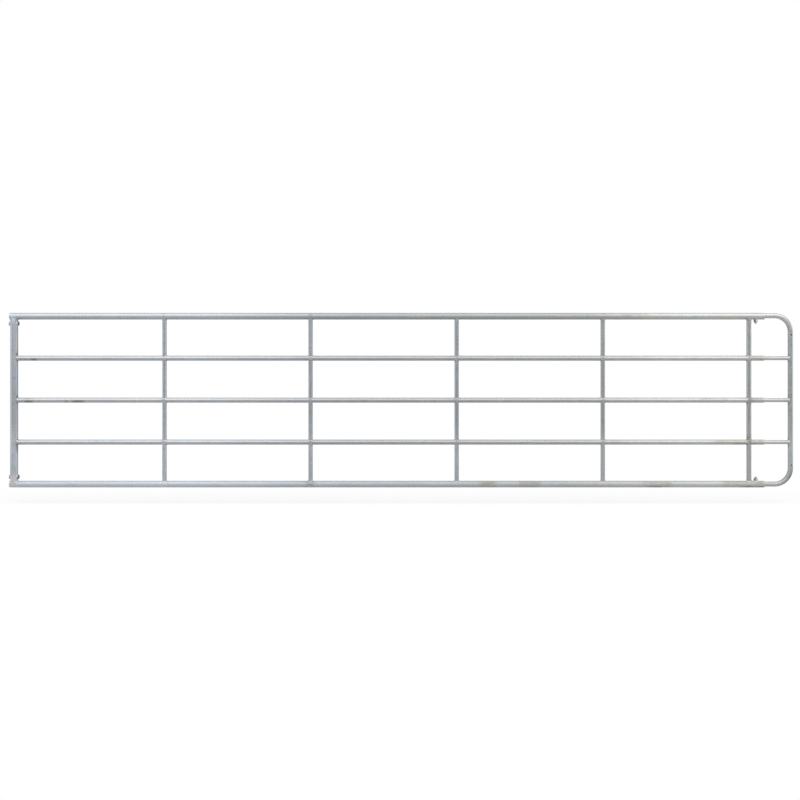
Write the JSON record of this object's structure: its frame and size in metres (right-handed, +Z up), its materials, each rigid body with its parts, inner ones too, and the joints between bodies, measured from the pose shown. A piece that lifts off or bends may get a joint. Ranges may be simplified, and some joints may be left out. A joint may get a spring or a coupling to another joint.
{
  "type": "field gate",
  "caption": "Adjustable tubular steel field gate: a welded leaf on hinge sleeves, with a sliding hoop extension held by clamp screws.",
  "frame": {"origin": "on the hinge stile's axis, in the middle of the lower hinge sleeve's bore", "axes": "+X from the hinges to the closing end, +Z up, the front faces -Y"},
  "size_m": [5.0032, 0.0482, 1.1144],
  "materials": {
    "galvanised_frame": "hot-dip galvanised, dull",
    "galvanised_upright": "hot-dip galvanised, dull",
    "galvanised_extension": "hot-dip galvanised, dull",
    "welded_fittings": "hot-dip galvanised, rough round the welds",
    "clamp_screw_steel": "zinc-plated"
  },
  "bodies": {
    "leaf": {"hinge_stile": "galvanised_frame", "top_tube": "galvanised_frame", "bottom_tube": "galvanised_frame", "upper_rail": "galvanised_frame", "middle_rail": "galvanised_frame", "lower_rail": "galvanised_frame", "upright_1_bottom": "galvanised_upright", "upright_1_lower": "galvanised_upright", "upright_1_upper": "galvanised_upright", "upright_1_top": "galvanised_upright", "upright_2_bottom": "galvanised_upright", "upright_2_lower": "galvanised_upright", "upright_2_upper": "galvanised_upright", "upright_2_top": "galvanised_upright", "upright_3_bottom": "galvanised_upright", "upright_3_lower": "galvanised_upright", "upright_3_upper": "galvanised_upright", "upright_3_top": "galvanised_upright", "upright_4_bottom": "galvanised_upright", "upright_4_lower": "galvanised_upright", "upright_4_upper": "galvanised_upright", "upright_4_top": "galvanised_upright", "end_upright_bottom": "galvanised_upright", "end_upright_lower": "galvanised_upright", "end_upright_upper": "galvanised_upright", "end_upright_top": "galvanised_upright", "hinge_sleeve_top": "welded_fittings", "hinge_sleeve_bottom": "welded_fittings", "clamp_nut_top": "welded_fittings", "clamp_nut_bottom": "welded_fittings"},
    "extension": {"extension_hoop": "galvanised_extension", "extension_rail_upper": "galvanised_extension", "extension_rail_middle": "galvanised_extension", "extension_rail_lower": "galvanised_extension"},
    "top_clamp": {"clamp_screw_top": "clamp_screw_steel"},
    "bottom_clamp": {"clamp_screw_bottom": "clamp_screw_steel"}
  },
  "joints": [
    {"name": "extension_slide", "type": "slide", "parent": "leaf", "child": "extension", "axis": [1, 0, 0], "range_m": [-0.05, 1]},
    {"name": "top_clamp_travel", "type": "slide", "parent": "leaf", "child": "top_clamp", "axis": [0, 0, -1], "range_m": [0, 0.01]},
    {"name": "bottom_clamp_travel", "type": "slide", "parent": "leaf", "child": "bottom_clamp", "axis": [0, 0, 1], "range_m": [0, 0.01]}
  ]
}
